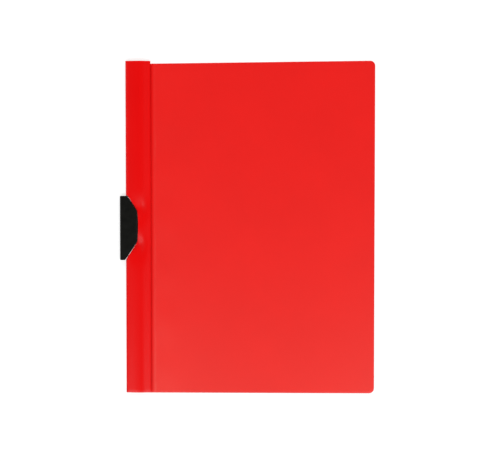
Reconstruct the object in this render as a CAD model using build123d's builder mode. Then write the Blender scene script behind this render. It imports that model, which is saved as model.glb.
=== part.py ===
from build123d import *

import os
from math import cos, radians, sin

os.makedirs("parts", exist_ok=True)

# A4 clip file, closed and lying on its back.
# X runs across the file from the spine to the free edge, Y runs along the spine,
# Z is up from the table. One red film makes the back panel, the spine fold and the
# narrow front strip; the clear front cover is welded under the strip. A bent
# spring-steel clip hangs on a wire along the spine fold. It grips the sheets, and
# comes off them when it is pulled outwards and swung round the wire.

# Driving dimensions, in millimetres
file_height = 310.8  # along the spine
file_width = 232.0  # from the spine edge to the free edge
clip_overhang = 6.0  # how far the clip stands out beyond the spine edge

red_film = 0.5
clear_film = 0.4
layer_gap = 0.3  # air between the back panel and the closed cover
corner_radius = 4.7  # free-edge corners of both covers

fold_radius = 1.4  # outer radius of the spine fold
strip_width = 22.8  # from the spine edge to the strip's free edge
strip_top_drop = 0.2  # the strip and its fold end this far inside the covers
strip_bottom_rise = 0.6
weld_width = 0.8  # flat edge of the strip, welded to the clear film
crest_from_spine = 12.4
crest_height = 3.9  # top of the arched strip above the table
crest_radius = 16.0  # from the crest towards the weld
flank_slope = 17.0  # degrees, the straight fall to the weld
crease_from_spine = 27.2  # fold line of the clear cover

cover_top_drop = 2.5  # how much lower the cover's top edge is at the crease
back_top_drop = 2.8  # the same for the red back, at the spine
back_bottom_rise = 0.1  # the clear cover is this much longer than the back
back_side_inset = 0.2  # and this much wider

clip_length = 60.0  # along the spine
clip_tip_length = 29.4  # chord of the jaw's curved inner edge
clip_tip_bulge = 1.0  # how far that edge bows out from its chord
clip_tip_shift = 1.6  # centre of that edge above the clip's own centre
clip_reach = 11.0  # from the spine edge to the tips of the jaws
clip_upper_shoulder = 0.8  # where the slanted sides start, from the spine edge
clip_lower_shoulder = -1.5
clip_height = 4.6
clip_sheet = 0.6
clip_slit = 0.3  # gap between the two lips, narrower than the wire
clip_tip_round = 2.5
clip_corner_round = 1.2
clip_centre_y = -0.25
notch_clearance = 0.4  # film cut back round the clip
back_notch_shift = 2.6  # the back's notch is deeper, for the lower jaw's swing

wire_radius = 0.5
wire_clearance = 0.05
sleeve_radius = 0.87
sleeve_length = 20.0
wire_end = 2.0  # how far the wire passes through each sleeve

# Derived places
file_top = file_height / 2
file_bottom = -file_height / 2
spine_x = -(file_width - clip_overhang) / 2
free_x = spine_x + file_width
fold_x = spine_x + fold_radius
crest_x = spine_x + crest_from_spine
strip_end_x = spine_x + strip_width
strip_top = file_top - strip_top_drop
strip_bottom = file_bottom + strip_bottom_rise
weld_x = strip_end_x - weld_width
crease_x = spine_x + crease_from_spine

cover_z = red_film + layer_gap
cover_top_z = cover_z + clear_film
weld_top_z = cover_top_z + red_film

clip_outer_x = spine_x - clip_overhang
clip_tip_x = spine_x + clip_reach
clip_corner_x = clip_tip_x - clip_tip_bulge
clip_mid_x = (clip_outer_x + clip_tip_x) / 2
clip_half = clip_length / 2
tip_mid_y = clip_centre_y + clip_tip_shift
tip_upper_y = tip_mid_y + clip_tip_length / 2
tip_lower_y = tip_mid_y - clip_tip_length / 2
notch_half = clip_half + notch_clearance
fold_upper_start = clip_centre_y + notch_half
fold_lower_start = clip_centre_y - notch_half


def clip_outline(grow, shift):
    """The clip's plan shape: a bar beyond the spine, tapering to the jaw tips."""
    with BuildSketch() as outline:
        with BuildLine():
            ends = Polyline(
                (clip_corner_x, tip_lower_y),
                (spine_x + clip_lower_shoulder, clip_centre_y - clip_half),
                (clip_outer_x, clip_centre_y - clip_half),
                (clip_outer_x, clip_centre_y + clip_half),
                (spine_x + clip_upper_shoulder, clip_centre_y + clip_half),
                (clip_corner_x, tip_upper_y),
            )
            ThreePointArc(ends @ 1, (clip_tip_x, tip_mid_y), ends @ 0)
        make_face()
        corners = outline.vertices().group_by(Axis.X)
        fillet(corners[-1], radius=clip_tip_round)
        corners = outline.vertices().group_by(Axis.X)
        fillet(corners[0], radius=clip_corner_round)
        if grow:
            offset(amount=grow, kind=Kind.INTERSECTION)
    return Pos(shift, 0, 0) * outline.sketch


def cover_outline(left_x, right_x, bottom_y, left_top_y, right_top_y):
    """A sheet with a straight spine side and two rounded free corners."""
    with BuildSketch() as outline:
        with BuildLine():
            Polyline(
                (left_x, bottom_y),
                (right_x, bottom_y),
                (right_x, right_top_y),
                (left_x, left_top_y),
                close=True,
            )
        make_face()
        fillet(outline.vertices().group_by(Axis.X)[-1], radius=corner_radius)
    return outline.sketch


back_sheet = cover_outline(
    fold_x,
    free_x - back_side_inset,
    file_bottom + back_bottom_rise,
    file_top - back_top_drop,
    file_top - back_side_inset,
)
clear_sheet = cover_outline(
    crease_x, free_x, file_bottom, file_top - cover_top_drop, file_top
)
clip_plan = clip_outline(0, 0)
strip_notch = clip_outline(notch_clearance, 0)
back_notch = clip_outline(notch_clearance, back_notch_shift)

# Back panel: the red film that lies on the table, notched for the clip
with BuildPart() as back_panel:
    with BuildSketch():
        add(back_sheet)
        add(back_notch, mode=Mode.SUBTRACT)
        with Locations((fold_x, clip_centre_y)):
            Rectangle(2 * back_notch_shift, 2 * notch_half, mode=Mode.SUBTRACT)
    extrude(amount=red_film)
back_panel.part.label = "back_panel"
export_step(back_panel.part, "parts/back_panel.step")


# Spine fold above and below the clip's notch: half a tube, open towards the sheets
fold_runs = {
    "spine_fold_upper": (strip_top, fold_upper_start),
    "spine_fold_lower": (fold_lower_start, strip_bottom),
}
for name, (upper_y, lower_y) in fold_runs.items():
    with BuildPart() as spine_fold:
        with BuildSketch(Plane.XZ.offset(-upper_y)):
            with Locations((fold_x, fold_radius)):
                Circle(fold_radius)
                Circle(fold_radius - red_film, mode=Mode.SUBTRACT)
            with Locations((fold_x + fold_radius, fold_radius)):
                Rectangle(2 * fold_radius, 3 * fold_radius, mode=Mode.SUBTRACT)
        extrude(amount=upper_y - lower_y)
    spine_fold.part.label = name
    export_step(spine_fold.part, f"parts/{name}.step")

# Wire sleeves: a small tube in each fold, beside the notch, that the wire turns in
sleeve_tops = {
    "wire_sleeve_upper": fold_upper_start + sleeve_length,
    "wire_sleeve_lower": fold_lower_start,
}
for name, upper_y in sleeve_tops.items():
    with BuildPart() as wire_sleeve:
        with BuildSketch(Plane.XZ.offset(-upper_y)):
            with Locations((fold_x, fold_radius)):
                Circle(sleeve_radius)
                Circle(wire_radius + wire_clearance, mode=Mode.SUBTRACT)
        extrude(amount=sleeve_length)
    wire_sleeve.part.label = name
    export_step(wire_sleeve.part, f"parts/{name}.step")

# Hinge wire: straight, through both sleeves and the clip
wire_top = fold_upper_start + sleeve_length + wire_end
wire_length = 2 * (notch_half + sleeve_length + wire_end)
with BuildPart() as hinge_wire:
    with BuildSketch(Plane.XZ.offset(-wire_top)):
        with Locations((fold_x, fold_radius)):
            Circle(wire_radius)
    extrude(amount=wire_length)
hinge_wire.part.label = "hinge_wire"
export_step(hinge_wire.part, "parts/hinge_wire.step")

# Front strip: rises from the fold to its crest, falls to the flat weld
flank = radians(flank_slope)
flank_start_x = crest_x + crest_radius * sin(flank)
flank_drop = crest_radius * (1 - cos(flank))
with BuildPart() as front_strip:
    with BuildSketch(Plane.XZ.offset(-strip_top)):
        with BuildLine():
            left_top = (fold_x, 2 * fold_radius)
            left_under = (fold_x, 2 * fold_radius - red_film)
            crest_top = (crest_x, crest_height)
            crest_under = (crest_x, crest_height - red_film)
            flank_top = (flank_start_x, crest_height - flank_drop)
            flank_under = (flank_start_x, crest_height - flank_drop - red_film)
            weld_top = (weld_x, weld_top_z)
            weld_under = (weld_x, cover_top_z)
            end_top = (strip_end_x, weld_top_z)
            end_under = (strip_end_x, cover_top_z)
            TangentArc(crest_top, left_top, tangent=(-1, 0))
            TangentArc(crest_top, flank_top, tangent=(1, 0))
            Polyline(flank_top, weld_top, end_top, end_under, weld_under, flank_under)
            TangentArc(crest_under, flank_under, tangent=(1, 0))
            TangentArc(crest_under, left_under, tangent=(-1, 0))
            Line(left_under, left_top)
        make_face()
    extrude(amount=strip_top - strip_bottom)
    with BuildSketch():
        add(strip_notch)
    extrude(amount=2 * clip_height, mode=Mode.SUBTRACT)
front_strip.part.label = "front_strip"
export_step(front_strip.part, "parts/front_strip.step")

# Weld flap: the clear film between the strip's underside and the cover's crease
with BuildPart() as weld_flap:
    with BuildSketch(Plane.XY.offset(cover_z)):
        flap_width = crease_x - weld_x
        flap_height = file_height - cover_top_drop
        with Locations((weld_x + flap_width / 2, -cover_top_drop / 2)):
            Rectangle(flap_width, flap_height)
    extrude(amount=clear_film)
weld_flap.part.label = "weld_flap"
export_step(weld_flap.part, "parts/weld_flap.step")

# Front cover: the clear film from the crease to the free edge
with BuildPart() as front_cover:
    with BuildSketch(Plane.XY.offset(cover_z)):
        add(clear_sheet)
    extrude(amount=clear_film)
front_cover.part.label = "front_cover"
export_step(front_cover.part, "parts/front_cover.step")

# Spring clip: one steel strip bent into a flat tube that is slit along the lips,
# cut to the tapered outline
with BuildPart() as spring_clip:
    with BuildSketch(Plane.XZ.offset(-(clip_centre_y + clip_half))):
        with Locations((clip_mid_x, clip_height / 2)):
            clip_width = clip_tip_x - clip_outer_x
            SlotOverall(clip_width, clip_height)
            SlotOverall(
                clip_width - 2 * clip_sheet,
                clip_height - 2 * clip_sheet,
                mode=Mode.SUBTRACT,
            )
        with Locations((clip_tip_x, clip_height / 2)):
            Rectangle(3 * clip_sheet, clip_slit, mode=Mode.SUBTRACT)
    extrude(amount=clip_length)
    with BuildSketch():
        add(clip_plan)
    extrude(amount=clip_height, mode=Mode.INTERSECT)
spring_clip.part.label = "spring_clip"
export_step(spring_clip.part, "parts/spring_clip.step")
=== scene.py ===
"""An A4 clip file lying closed on a pale table.

Red film makes the back and the front strip, clear frosted film makes the cover, and a black
steel clip sits over the middle of the spine.
"""

import math

import bmesh
import bpy
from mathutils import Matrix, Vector


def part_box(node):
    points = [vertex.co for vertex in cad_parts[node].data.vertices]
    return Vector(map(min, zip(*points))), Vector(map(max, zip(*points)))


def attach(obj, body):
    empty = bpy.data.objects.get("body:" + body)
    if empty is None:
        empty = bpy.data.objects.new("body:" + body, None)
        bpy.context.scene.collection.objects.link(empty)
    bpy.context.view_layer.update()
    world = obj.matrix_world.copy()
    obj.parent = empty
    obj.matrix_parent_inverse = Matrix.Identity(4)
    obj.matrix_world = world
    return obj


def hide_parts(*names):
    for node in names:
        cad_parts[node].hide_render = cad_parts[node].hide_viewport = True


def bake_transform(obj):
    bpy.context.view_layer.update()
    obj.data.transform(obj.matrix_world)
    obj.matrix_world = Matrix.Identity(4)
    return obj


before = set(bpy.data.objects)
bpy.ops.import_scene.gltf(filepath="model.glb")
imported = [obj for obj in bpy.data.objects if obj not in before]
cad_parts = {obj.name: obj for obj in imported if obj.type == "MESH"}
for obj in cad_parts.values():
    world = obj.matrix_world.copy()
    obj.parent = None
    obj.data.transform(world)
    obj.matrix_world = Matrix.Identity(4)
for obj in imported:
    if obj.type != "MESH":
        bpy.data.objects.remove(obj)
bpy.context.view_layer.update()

MM = 0.001

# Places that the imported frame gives, in metres
back_low, back_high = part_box("back_panel")
upper_fold_low, upper_fold_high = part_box("spine_fold_upper")
lower_fold_low, lower_fold_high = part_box("spine_fold_lower")
strip_low, strip_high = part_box("front_strip")
flap_low, flap_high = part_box("weld_flap")
cover_low, cover_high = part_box("front_cover")
clip_low, clip_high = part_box("spring_clip")

SPINE_X = upper_fold_low.x
FOLD_RADIUS = upper_fold_high.z / 2
FOLD_X = SPINE_X + FOLD_RADIUS
STRIP_TOP = upper_fold_high.y
STRIP_BOTTOM = lower_fold_low.y
FILE_TOP = cover_high.y
FILE_BOTTOM = cover_low.y
STRIP_END_X = strip_high.x
WELD_X = flap_low.x
CREASE_X = cover_low.x
FREE_X = cover_high.x
CREST_Z = strip_high.z
CLEAR_FILM = cover_high.z - cover_low.z
RED_FILM = back_high.z - back_low.z
WELD_Z = cover_high.z + RED_FILM
FLAP_TOP = flap_high.y
CLIP_Y = (clip_low.y + clip_high.y) / 2
CLIP_HALF = (clip_high.y - clip_low.y) / 2

# Sizes that repeat the CAD source
CREST_X = SPINE_X + 12.4 * MM
CREST_RADIUS = 16.0 * MM
FLANK_SLOPE = math.radians(17.0)
CORNER_RADIUS = 4.7 * MM
BACK_TOP_DROP = 2.8 * MM
BACK_SIDE_INSET = 0.2 * MM
CLIP_UPPER_SHOULDER_X = SPINE_X + 0.8 * MM
CLIP_LOWER_SHOULDER_X = SPINE_X - 1.5 * MM
CLIP_TIP_HALF = 14.7 * MM
CLIP_TIP_BULGE = 1.0 * MM
CLIP_TIP_SHIFT = 1.6 * MM
CLIP_TIP_ROUND = 2.5 * MM
CLIP_CORNER_ROUND = 1.2 * MM
CLIP_SHEET = 0.6 * MM
CLIP_SLIT = 0.3 * MM
NOTCH_CLEARANCE = 0.4 * MM
BACK_NOTCH_SHIFT = 2.6 * MM

# Sizes of the visual alone
CUT_LOW, CUT_HIGH = -5 * MM, 10 * MM  # heights that every cutter reaches past the file
FILM_EDGE = 0.12 * MM  # softened edge of the red film
WELD_BLEND = 0.08 * MM  # rounding where the strip's slope meets the weld
SIDE_CLEARANCE = 0.12 * MM  # from the clip's slanted sides to the strip's edge
TIP_CLEARANCE = 0.15 * MM  # the same for the jaw's bowed edge
RELIEF_MOUTH = 0.6 * MM  # more room beside the fold, where the lifted strip moves inwards
RELIEF = 0.5 * MM
RELIEF_START, RELIEF_PEAK, RELIEF_END = -2.4 * MM, 1.5 * MM, 8.0 * MM  # from the fold
CREASE_HALF = 0.7 * MM  # half the width of the embossed crease line
CREASE_HEIGHT = 0.15 * MM
COVER_EDGE = 0.08 * MM
WAVE_HEIGHT = 0.09 * MM  # faint waves of the clear film beside its crease
CLIP_BOW = 0.35 * MM  # how far the clip's upper side falls at its two ends
CLIP_EDGE = 0.14 * MM

# Where the jaw's two inner corners press the strip: place along the spine from the clip's
# centre, place across from the jaw's tip, depth, and reach across, above and below
DENTS = (
    (18.0 * MM, 3.5 * MM, 2.6 * MM, 6.0 * MM, 7.0 * MM, 7.0 * MM),
    (-17.0 * MM, 0.5 * MM, 2.5 * MM, 5.0 * MM, 7.5 * MM, 8.0 * MM),
)


# ---------------------------------------------------------------- mesh helpers


def spread(start, end, count):
    """Count + 1 evenly spaced values from start to end."""
    return [start + (end - start) * i / count for i in range(count + 1)]


def smoothstep(edge_low, edge_high, value):
    """0 at edge_low, 1 at edge_high, with a smooth rise between them."""
    t = min(1.0, max(0.0, (value - edge_low) / (edge_high - edge_low)))
    return t * t * (3 - 2 * t)


def bell(value, width):
    """1 at zero, fading to both sides over about width."""
    return math.exp(-((value / width) ** 2) / 2)


def grid_object(name, rows):
    """A sheet of quads through rows of points, one row per step along the first direction."""
    made = bmesh.new()
    verts = [[made.verts.new(p) for p in row] for row in rows]
    for row, following in zip(verts, verts[1:]):
        for i in range(len(row) - 1):
            made.faces.new((row[i], row[i + 1], following[i + 1], following[i]))
    return linked(name, made)


def prism_object(name, outline):
    """A closed upright prism over an outline of (x, y) points, for cutting."""
    made = bmesh.new()
    face = made.faces.new([made.verts.new((x, y, CUT_LOW)) for x, y in outline])
    lifted = bmesh.ops.extrude_face_region(made, geom=[face])
    moved = [v for v in lifted["geom"] if isinstance(v, bmesh.types.BMVert)]
    bmesh.ops.translate(made, verts=moved, vec=(0, 0, CUT_HIGH - CUT_LOW))
    bmesh.ops.recalc_face_normals(made, faces=made.faces)
    return linked(name, made)


def linked(name, made):
    """A new object in the scene from the mesh that was made."""
    mesh = bpy.data.meshes.new(name)
    made.to_mesh(mesh)
    made.free()
    piece = bpy.data.objects.new(name, mesh)
    bpy.context.scene.collection.objects.link(piece)
    return piece


def thicken(piece, thickness):
    """Gives a sheet its thickness, away from the side that its faces point to."""
    step = piece.modifiers.new("thickness", "SOLIDIFY")
    step.thickness = thickness
    step.offset = -1.0
    step.use_even_offset = True


def cut(piece, cutter, operation="DIFFERENCE"):
    """Takes the cutter away from the piece, or keeps only what lies in it."""
    step = piece.modifiers.new("cut", "BOOLEAN")
    step.operation = operation
    step.solver = "EXACT"
    step.object = cutter


def soften_edges(piece, width, segments=2):
    """Rounds the sharp edges over the given width."""
    step = piece.modifiers.new("edges", "BEVEL")
    step.width = width
    step.segments = segments
    step.limit_method = "ANGLE"
    step.angle_limit = math.radians(50)


def freeze(piece, *used):
    """Applies the modifiers, smooths the shading and removes what they used."""
    graph = bpy.context.evaluated_depsgraph_get()
    mesh = bpy.data.meshes.new_from_object(piece.evaluated_get(graph))
    piece.modifiers.clear()
    piece.data = mesh
    mesh.shade_smooth()
    mesh.set_sharp_from_angle(angle=math.radians(40))
    for other in used:
        bpy.data.objects.remove(other)


def corner_inset(x, side_x):
    """How far a sheet's rounded corner draws its edge in at x, near its free side."""
    past = max(0.0, x - (side_x - CORNER_RADIUS))
    return CORNER_RADIUS - math.sqrt(max(0.0, CORNER_RADIUS**2 - past**2))


def arc(centre_x, radius, start, end, count):
    """(x, z) along an arc whose centre is one radius above the table."""
    points = []
    for angle in spread(start, end, count):
        points.append((centre_x + radius * math.cos(angle), radius + radius * math.sin(angle)))
    return points


def rounded_outline(corners, radii, steps=10):
    """Points round a convex outline, with an arc of the given radius at each corner."""
    points = []
    count = len(corners)
    for i, corner in enumerate(corners):
        if radii[i] == 0:
            points.append(corner)
            continue
        here = Vector(corner)
        before = (Vector(corners[i - 1]) - here).normalized()
        after = (Vector(corners[(i + 1) % count]) - here).normalized()
        radius = radii[i]
        half = before.angle(after) / 2
        centre = here + (before + after).normalized() * radius / math.sin(half)
        start = here + before * radius / math.tan(half) - centre
        turn = math.pi - 2 * half
        side = 1 if before.x * after.y - before.y * after.x < 0 else -1
        for step in range(steps + 1):
            angle = side * turn * step / steps
            c, s = math.cos(angle), math.sin(angle)
            points.append(
                (
                    centre.x + start.x * c - start.y * s,
                    centre.y + start.x * s + start.y * c,
                )
            )
    return points


def clip_corners():
    """The corners of the clip's plan outline, with its bowed inner edge as short chords."""
    bow_radius = (CLIP_TIP_HALF**2 + CLIP_TIP_BULGE**2) / (2 * CLIP_TIP_BULGE)
    bow_half_angle = math.asin(CLIP_TIP_HALF / bow_radius)
    bow_x = clip_high.x - bow_radius
    bow_y = CLIP_Y + CLIP_TIP_SHIFT
    corners = [
        (clip_low.x, CLIP_Y - CLIP_HALF),
        (CLIP_LOWER_SHOULDER_X, CLIP_Y - CLIP_HALF),
    ]
    for angle in spread(-bow_half_angle, bow_half_angle, 10):
        corners.append(
            (bow_x + bow_radius * math.cos(angle), bow_y + bow_radius * math.sin(angle))
        )
    corners.append((CLIP_UPPER_SHOULDER_X, CLIP_Y + CLIP_HALF))
    corners.append((clip_low.x, CLIP_Y + CLIP_HALF))
    return corners


def moved_out(corners, distances):
    """A convex outline, counter-clockwise, with the edge after each corner moved outwards."""
    count = len(corners)
    lines = []
    for i, distance in enumerate(distances):
        start = Vector(corners[i])
        along = (Vector(corners[(i + 1) % count]) - start).normalized()
        lines.append((start + Vector((along.y, -along.x)) * distance, along))
    moved = []
    for i in range(count):
        (p, u), (q, v) = lines[i - 1], lines[i]
        share = ((q - p).x * v.y - (q - p).y * v.x) / (u.x * v.y - u.y * v.x)
        moved.append(tuple(p + u * share))
    return moved


def clip_outline(shift=0.0, sides=0.0, tip=0.0):
    """The clip's plan outline moved along X by shift, its ends and slanted sides grown
    outwards by sides and its bowed inner edge by tip."""
    corners = clip_corners()
    bow_edges = len(corners) - 5
    distances = [sides, sides] + [tip] * bow_edges + [sides, sides, sides]
    corners = [(x + shift, y) for x, y in moved_out(corners, distances)]
    radii = [CLIP_CORNER_ROUND, 0, CLIP_TIP_ROUND]
    radii += [0] * (bow_edges - 1)
    radii += [CLIP_TIP_ROUND, 0, CLIP_CORNER_ROUND]
    return rounded_outline(corners, radii)


# ------------------------------------------------------------------- red film


def arch(x):
    """Height of the strip's upper side over x: up to the crest, down to the flat weld."""
    if x <= CREST_X:
        reach, rise = CREST_X - FOLD_X, CREST_Z - 2 * FOLD_RADIUS
        radius = (reach**2 + rise**2) / (2 * rise)
        return CREST_Z - radius + math.sqrt(radius**2 - (CREST_X - x) ** 2)
    past = x - CREST_X
    flank_start = CREST_RADIUS * math.sin(FLANK_SLOPE)
    if past < flank_start:
        height = CREST_Z - CREST_RADIUS + math.sqrt(CREST_RADIUS**2 - past**2)
    else:
        height = CREST_Z - CREST_RADIUS * (1 - math.cos(FLANK_SLOPE))
        height -= (past - flank_start) * math.tan(FLANK_SLOPE)
    above = (height - WELD_Z) / WELD_BLEND
    if above > 30:  # far from the weld, where the rounding vanishes
        return height
    return WELD_Z + WELD_BLEND * math.log1p(math.exp(above))


def strip_profile():
    """(x, z) across the strip's upper side, from the spine edge over the fold to the free edge."""
    reach, rise = CREST_X - FOLD_X, CREST_Z - 2 * FOLD_RADIUS
    start_tilt = 2 * math.atan(rise / reach)
    points = arc(FOLD_X, FOLD_RADIUS, math.pi, math.pi / 2 + start_tilt, 8)
    for x in spread(FOLD_X + 0.4 * MM, STRIP_END_X, 46):
        points.append((x, arch(x)))
    return points


def dent(x, y):
    """How far the clip presses the strip down at a point."""
    depth = 0.0
    for along, across, deepest, reach, reach_above, reach_below in DENTS:
        rise = y - CLIP_Y - along
        reach_y = reach_above if rise > 0 else reach_below
        depth += deepest * bell(x - clip_high.x - across, reach) * bell(rise, reach_y)
    depth *= smoothstep(FOLD_X, FOLD_X + 4 * MM, x)
    return depth * smoothstep(STRIP_END_X, CREST_X + 1 * MM, x)


def rows_along_spine():
    """Places along the spine, closer together beside the clip."""
    near = 46 * MM
    return (
        spread(STRIP_BOTTOM, CLIP_Y - near, 36)
        + spread(CLIP_Y - near, CLIP_Y + near, 92)[1:]
        + spread(CLIP_Y + near, STRIP_TOP, 36)[1:]
    )


def relief_outline(shoulder, jaw_corner):
    """A wedge of room beside one slanted side of the clip, narrowing from the fold to the jaw."""
    start = Vector(shoulder)
    along = (Vector(jaw_corner) - start).normalized()
    out = Vector((abs(along.y), math.copysign(along.x, -along.y)))
    mouth = max(RELIEF_START, start.x - FOLD_X)
    points = []
    for run, width in (
        (mouth, RELIEF_MOUTH),
        (RELIEF_PEAK, RELIEF),
        (RELIEF_END, SIDE_CLEARANCE),
        (RELIEF_END, -RELIEF),
        (mouth, -RELIEF),
    ):
        place = start + along * ((FOLD_X + run - start.x) / along.x)
        points.append(tuple(place + out * width))
    return points if out.y < 0 else points[::-1]


def make_strip():
    """The front strip from the spine edge to the weld, notched for the clip."""
    profile = strip_profile()
    rows = []
    for y in rows_along_spine():
        rows.append([(x, y, z - dent(x, y)) for x, z in profile])
    strip = grid_object("red_strip", rows)
    strip.data.flip_normals()
    thicken(strip, RED_FILM)
    corners = clip_corners()
    for outline in (
        clip_outline(sides=SIDE_CLEARANCE, tip=TIP_CLEARANCE),
        relief_outline(corners[1], corners[2]),
        relief_outline(corners[-2], corners[-3]),
    ):
        cutter = prism_object("cutter", outline)
        cut(strip, cutter)
        freeze(strip, cutter)
    soften_edges(strip, FILM_EDGE)
    freeze(strip)
    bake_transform(strip)
    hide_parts("front_strip")
    return strip


def back_edge(x, side):
    """The back panel's top (side 1) or bottom (side -1) edge at x."""
    if x < FOLD_X:
        return STRIP_TOP if side > 0 else STRIP_BOTTOM
    edge = back_low.y
    if side > 0:
        share = (x - FOLD_X) / (back_high.x - FOLD_X)
        edge = FILE_TOP - BACK_TOP_DROP + share * (BACK_TOP_DROP - BACK_SIDE_INSET)
    return edge - side * corner_inset(x, back_high.x)


def corner_places(x_end):
    """Places across a sheet up to x_end that follow its rounded corners."""
    start = x_end - CORNER_RADIUS
    return [start + CORNER_RADIUS * math.sin(a) for a in spread(0, math.pi / 2, 8)]


def make_back():
    """The back panel with the lower half of the spine fold."""
    profile = arc(FOLD_X, FOLD_RADIUS, math.pi, 1.5 * math.pi, 8)[:-1]
    flat = [FOLD_X + 0.01 * MM] + spread(FOLD_X + 1.5 * MM, back_high.x - CORNER_RADIUS, 60)
    profile += [(x, 0.0) for x in flat + corner_places(back_high.x)[1:]]
    rows = []
    for x, z in profile:
        low, high = back_edge(x, -1), back_edge(x, 1)
        rows.append([(x, y, z) for y in spread(low, high, 120)])
    back = grid_object("red_back", rows)
    thicken(back, RED_FILM)
    notch = clip_outline(BACK_NOTCH_SHIFT, NOTCH_CLEARANCE, NOTCH_CLEARANCE)
    jaw_cutter = prism_object("jaw_cutter", notch)
    cut(back, jaw_cutter)
    half = CLIP_HALF + NOTCH_CLEARANCE
    gap = [
        (clip_low.x, CLIP_Y - half),
        (FOLD_X + BACK_NOTCH_SHIFT, CLIP_Y - half),
        (FOLD_X + BACK_NOTCH_SHIFT, CLIP_Y + half),
        (clip_low.x, CLIP_Y + half),
    ]
    fold_cutter = prism_object("fold_cutter", gap)
    cut(back, fold_cutter)
    freeze(back, jaw_cutter, fold_cutter)
    soften_edges(back, FILM_EDGE)
    freeze(back)
    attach(back, "back")
    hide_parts("back_panel", "spine_fold_upper", "spine_fold_lower")
    return back


# ---------------------------------------------------------------- clear cover


def cover_top(x):
    """The cover's top edge at x, level above the weld flap and slanted above the cover."""
    if x < CREASE_X:
        return FLAP_TOP
    share = (x - CREASE_X) / (FREE_X - CREASE_X)
    return FLAP_TOP + share * (FILE_TOP - FLAP_TOP) - corner_inset(x, FREE_X)


def cover_bottom(x):
    """The cover's bottom edge at x."""
    return FILE_BOTTOM + corner_inset(x, FREE_X)


def cover_lift(x, y):
    """The crease's embossed line and the film's faint waves beside it."""
    line = CREASE_HEIGHT * bell(x - CREASE_X + 0.2 * MM, CREASE_HALF / 2)
    away = x - CREASE_X
    if away <= 0:
        return line
    waves = math.sin(y / (7.5 * MM) + 0.8) + 0.7 * math.sin(y / (17 * MM) + away / (21 * MM))
    return line + WAVE_HEIGHT * waves * bell(away - 9 * MM, 8 * MM)


def make_cover():
    """The clear film in one piece, from its weld under the strip to the free edge."""
    places = [WELD_X, WELD_X + 0.9 * MM]
    places += spread(STRIP_END_X + 0.2 * MM, CREASE_X + 1.2 * MM, 30)
    places += spread(CREASE_X + 2.4 * MM, CREASE_X + 40 * MM, 30)
    places += spread(CREASE_X + 44 * MM, FREE_X - CORNER_RADIUS, 34)
    places += corner_places(FREE_X)[1:]
    rows = []
    for x in places:
        low, high = cover_bottom(x), cover_top(x)
        rows.append([(x, y, cover_high.z + cover_lift(x, y)) for y in spread(low, high, 200)])
    cover = grid_object("clear_cover", rows)
    cover.data.flip_normals()
    thicken(cover, CLEAR_FILM)
    freeze(cover)
    soften_edges(cover, COVER_EDGE, 1)
    freeze(cover)
    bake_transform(cover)
    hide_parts("weld_flap", "front_cover")
    return cover


# ----------------------------------------------------------------------- clip


def clip_profile():
    """(x, z) round the clip's bent sheet, from the upper lip round its spine to the lower lip."""
    radius = clip_high.z / 2
    right, left = clip_high.x - radius, clip_low.x + radius
    lip = math.asin(CLIP_SLIT / 2 / radius)
    points = arc(right, radius, lip, math.pi / 2, 14)
    points += [(x, 2 * radius) for x in spread(right, left, 26)[1:-1]]
    points += arc(left, radius, math.pi / 2, 1.5 * math.pi, 24)
    points += [(x, 0.0) for x in spread(left, right, 26)[1:-1]]
    points += arc(right, radius, 1.5 * math.pi, 2 * math.pi - lip, 14)
    return points


def make_clip():
    """One bent steel sheet, cut to the tapered outline, its upper side bowed down at the ends."""
    rows = []
    for x, z in clip_profile():
        row = []
        for t in spread(-1, 1, 60):
            fall = CLIP_BOW * abs(t) ** 6 * smoothstep(0, clip_high.z, z)
            row.append((x, CLIP_Y + t * CLIP_HALF, z - fall))
        rows.append(row)
    clip = grid_object("steel_clip", rows)
    thicken(clip, CLIP_SHEET)
    keep = prism_object("keep", clip_outline())
    cut(clip, keep, "INTERSECT")
    freeze(clip, keep)
    soften_edges(clip, CLIP_EDGE, 3)
    freeze(clip)
    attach(clip, "clip")
    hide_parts("spring_clip")
    return clip


# ------------------------------------------------------------------ materials


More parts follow.
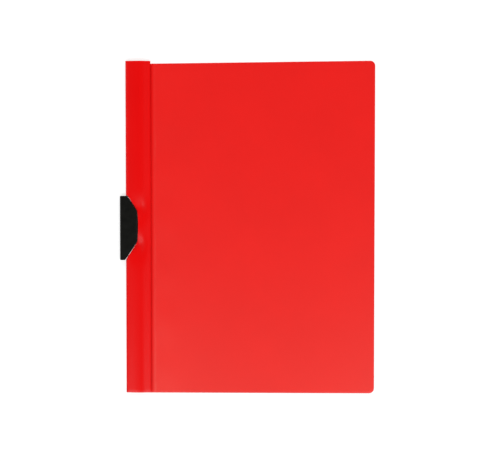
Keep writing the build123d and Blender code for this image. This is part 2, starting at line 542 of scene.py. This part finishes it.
class Shader:
    """A material's node tree, with short calls to add and join nodes."""

    def __init__(self, name):
        self.material = bpy.data.materials.new(name)
        self.material.use_nodes = True
        self.tree = self.material.node_tree
        self.tree.nodes.clear()
        self.place = self.add("ShaderNodeTexCoord").outputs["Object"]

    def add(self, kind, values=None, **settings):
        """A new node, with its inputs set or linked from values."""
        node = self.tree.nodes.new(kind)
        for name, value in settings.items():
            setattr(node, name, value)
        for name, value in (values or {}).items():
            self.put(node.inputs[name], value)
        return node

    def put(self, socket, value):
        """Links a socket to the input, or sets the input to a constant."""
        if isinstance(value, bpy.types.NodeSocket):
            self.tree.links.new(value, socket)
        else:
            socket.default_value = value

    def noise(self, size, detail=3.0, roughness=0.5):
        """Noise whose grains are about size metres across."""
        values = {
            "Vector": self.place,
            "Scale": 1 / size,
            "Detail": detail,
            "Roughness": roughness,
        }
        return self.add("ShaderNodeTexNoise", values).outputs["Fac"]

    def between(self, source, low, high, start=0.3, end=0.7):
        """Source's span from start to end, mapped to low and high."""
        values = {
            "Value": source,
            "From Min": start,
            "From Max": end,
            "To Min": low,
            "To Max": high,
        }
        return self.add("ShaderNodeMapRange", values).outputs["Result"]

    def math(self, operation, a, b):
        node = self.add("ShaderNodeMath", operation=operation)
        self.put(node.inputs[0], a)
        self.put(node.inputs[1], b)
        return node.outputs[0]

    def colour(self, factor, low, high):
        """A mix from colour low to colour high."""
        node = self.add("ShaderNodeMix", data_type="RGBA")
        self.put(node.inputs["Factor"], factor)
        self.put(node.inputs["A"], (*low, 1.0))
        self.put(node.inputs["B"], (*high, 1.0))
        return node.outputs["Result"]

    def bump(self, height, distance, strength=1.0):
        values = {"Height": height, "Distance": distance, "Strength": strength}
        return self.add("ShaderNodeBump", values).outputs["Normal"]

    def layered(self, share, under, over):
        """A share of one surface node over another."""
        values = {0: share, 1: under.outputs[0], 2: over.outputs[0]}
        return self.add("ShaderNodeMixShader", values)

    def finish(self, surface):
        """Joins the surface to the output and gives the finished material."""
        output = self.add("ShaderNodeOutputMaterial")
        self.put(output.inputs["Surface"], surface)
        return self.material


def red_film_material(name, red):
    """Red polypropylene of the given redness, with the fine pressed grain of such film. The strip
    and the back are one film; their two rednesses are painted shade on the strip and painted light
    on the back.
    """
    shader = Shader(name)
    cloud = shader.noise(60 * MM, 2)
    grain = shader.noise(0.9 * MM, 4, 0.65)
    deep, pale = (0.98 * red, 0.0018, 0.0018), (1.02 * red, 0.0026, 0.0024)
    colour = shader.colour(shader.between(cloud, 0, 1), deep, pale)
    node = shader.add(
        "ShaderNodeBsdfPrincipled",
        {
            "Base Color": colour,
            "Roughness": shader.between(grain, 0.28, 0.34),
            "IOR": 1.49,
            "Specular IOR Level": 0.2,
            "Normal": shader.bump(grain, 0.02 * MM, 0.6),
        },
    )
    return shader.finish(node.outputs["BSDF"])


def clear_film_material():
    """Clear film with a frosted face: mostly see-through, a little haze, soft gloss at
    grazing angles. The band beside the weld is pressed smooth and stays clear."""
    shader = Shader("clear_film")
    grain = shader.noise(0.8 * MM, 4, 0.6)
    normal = shader.bump(grain, 0.02 * MM, 0.7)
    across = shader.add("ShaderNodeSeparateXYZ", {"Vector": shader.place}).outputs["X"]
    frosted = shader.between(across, 0, 1, CREASE_X - 3.2 * MM, CREASE_X - 1.6 * MM)
    weight = shader.add("ShaderNodeLayerWeight", {"Blend": 0.5, "Normal": normal})
    grazing = shader.math("POWER", weight.outputs["Facing"], 5.0)
    mirror_share = shader.math("ADD", shader.math("MULTIPLY", grazing, 0.9), 0.025)
    clear = shader.add("ShaderNodeBsdfTransparent", {"Color": (1.0, 1.0, 1.0, 1.0)})
    gloss = shader.add(
        "ShaderNodeBsdfAnisotropic",
        {
            "Color": (1.0, 0.97, 0.8, 1.0),
            "Roughness": shader.between(frosted, 0.2, 0.36, 0, 1),
            "Normal": normal,
        },
    )
    milk = shader.colour(shader.between(grain, 0, 1), (0.74, 0.70, 0.66), (0.9, 0.86, 0.8))
    haze = shader.add("ShaderNodeBsdfDiffuse", {"Color": milk})
    haze_share = shader.math("MULTIPLY", shader.between(grain, 0.0, 0.002), frosted)
    glossy = shader.layered(mirror_share, clear, gloss)
    return shader.finish(shader.layered(haze_share, glossy, haze).outputs[0])


def black_steel_material():
    """Black satin enamel with a faint orange peel and rubbed spots."""
    shader = Shader("black_steel")
    peel = shader.noise(1.6 * MM, 2)
    wear = shader.noise(5 * MM, 5, 0.6)
    deep, rubbed = (0.003, 0.0031, 0.0024), (0.0052, 0.0053, 0.0042)
    colour = shader.colour(shader.between(wear, 0, 1), deep, rubbed)
    node = shader.add(
        "ShaderNodeBsdfPrincipled",
        {
            "Base Color": colour,
            "Roughness": shader.between(wear, 0.42, 0.5),
            "IOR": 1.2,
            "Specular IOR Level": 0.5,
            "Normal": shader.bump(peel, 0.02 * MM, 0.5),
        },
    )
    return shader.finish(node.outputs["BSDF"])


def wire_material():
    """Drawn steel wire, with fine lines along its length."""
    shader = Shader("steel_wire")
    drawn = {"Vector": shader.place, "Scale": (1.0, 0.02, 1.0)}
    lines = shader.add("ShaderNodeMapping", drawn).outputs["Vector"]
    values = {"Vector": lines, "Scale": 1 / (0.15 * MM), "Detail": 3.0}
    scratch = shader.add("ShaderNodeTexNoise", values).outputs["Fac"]
    dull, bright = (0.5, 0.5, 0.5), (0.66, 0.66, 0.67)
    node = shader.add(
        "ShaderNodeBsdfPrincipled",
        {
            "Base Color": shader.colour(shader.between(scratch, 0, 1), dull, bright),
            "Metallic": 1.0,
            "Roughness": shader.between(scratch, 0.22, 0.4),
            "Normal": shader.bump(scratch, 0.01 * MM, 0.4),
        },
    )
    return shader.finish(node.outputs["BSDF"])


def sleeve_material():
    """Natural plastic tube, slightly cloudy."""
    shader = Shader("sleeve_plastic")
    cloud = shader.noise(1.5 * MM, 3)
    node = shader.add(
        "ShaderNodeBsdfPrincipled",
        {
            "Base Color": shader.colour(cloud, (0.66, 0.65, 0.62), (0.8, 0.79, 0.76)),
            "Roughness": shader.between(cloud, 0.35, 0.5),
            "Normal": shader.bump(cloud, 0.02 * MM, 0.3),
        },
    )
    return shader.finish(node.outputs["BSDF"])


def paint(piece, material):
    """Gives a piece its only material."""
    piece.data.materials.clear()
    piece.data.materials.append(material)


def floor_material():
    """Pale matte table that glows a little, so that it stays near white."""
    shader = Shader("table")
    cloud = shader.noise(0.4, 2)
    node = shader.add(
        "ShaderNodeBsdfPrincipled",
        {
            "Base Color": shader.colour(cloud, (0.40, 0.40, 0.398), (0.42, 0.42, 0.418)),
            "Roughness": 0.9,
            "Specular IOR Level": 0.1,
            "Emission Color": (1.0, 1.0, 1.0, 1.0),
            "Emission Strength": 0.66,
        },
    )
    return shader.finish(node.outputs["BSDF"])


# ---------------------------------------------------------------------- stage

FLOOR_HALF = 6.0  # metres
FLOOR_GAP = 0.05 * MM
WORLD_STRENGTH = 0.05

# Soft boxes that point at the origin: name, place, size in metres, and power in watts
LIGHTS = (
    ("front_left_box", (-0.6, -0.85, 1.3), (0.8, 0.6), 10),
    ("front_right_box", (0.6, -0.85, 1.3), (0.8, 0.6), 10),
    ("left_box", (-1.5, 0.2, 0.9), (0.6, 1.2), 5),
    ("right_box", (1.5, 0.2, 0.9), (0.6, 1.2), 9),
    ("rear_box", (0.0, 1.6, 1.0), (1.8, 0.5), 20),
)

CAMERA_PLACE = (0.0286, 0.0475, 1.2)
CAMERA_TURN = (math.radians(-2.414), math.radians(1.243), 0.0)
CAMERA_LENS = 92.5
CAMERA_SENSOR = 36.0

# The strip and the back are one red film. The strip's deeper red is painted shade and the back's
# paler red is painted light, standing in for how light falls on each.
STRIP_RED_PAINTED_SHADE = 0.765
BACK_RED_PAINTED_LIGHT = 0.825


def make_floor():
    """A wide floor just under the file."""
    rows = [[(x, y, 0.0) for x in (-FLOOR_HALF, FLOOR_HALF)] for y in (FLOOR_HALF, -FLOOR_HALF)]
    floor = grid_object("floor", rows)
    floor.location.z = -FLOOR_GAP
    floor.data.materials.append(floor_material())


def make_light(name, place, size, power):
    """A soft box: an area light that points at the origin."""
    data = bpy.data.lights.new(name, "AREA")
    data.shape = "RECTANGLE"
    data.size, data.size_y = size
    data.energy = power
    light = bpy.data.objects.new(name, data)
    bpy.context.scene.collection.objects.link(light)
    light.location = place
    light.rotation_euler = (-Vector(place)).to_track_quat("-Z", "Y").to_euler()


def make_world():
    """An even, faint white surrounding."""
    world = bpy.data.worlds.new("studio")
    bpy.context.scene.world = world
    world.use_nodes = True
    background = world.node_tree.nodes["Background"]
    background.inputs["Color"].default_value = (1.0, 1.0, 1.0, 1.0)
    background.inputs["Strength"].default_value = WORLD_STRENGTH


def make_camera():
    """Straight above the file, leaning very slightly towards its top edge."""
    data = bpy.data.cameras.new("camera")
    data.lens = CAMERA_LENS
    data.sensor_width = CAMERA_SENSOR
    camera = bpy.data.objects.new("camera", data)
    bpy.context.scene.collection.objects.link(camera)
    camera.location = CAMERA_PLACE
    camera.rotation_euler = CAMERA_TURN
    bpy.context.scene.camera = camera


make_camera()
make_floor()
make_world()
for light_row in LIGHTS:
    make_light(*light_row)

paint(make_strip(), red_film_material("red_strip_film_painted_shade", STRIP_RED_PAINTED_SHADE))
paint(make_back(), red_film_material("red_back_film_painted_light", BACK_RED_PAINTED_LIGHT))
paint(make_cover(), clear_film_material())
paint(make_clip(), black_steel_material())
paint(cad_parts["hinge_wire"], wire_material())
sleeve = sleeve_material()
paint(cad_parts["wire_sleeve_upper"], sleeve)
paint(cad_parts["wire_sleeve_lower"], sleeve)

bpy.context.scene.view_settings.view_transform = "Standard"
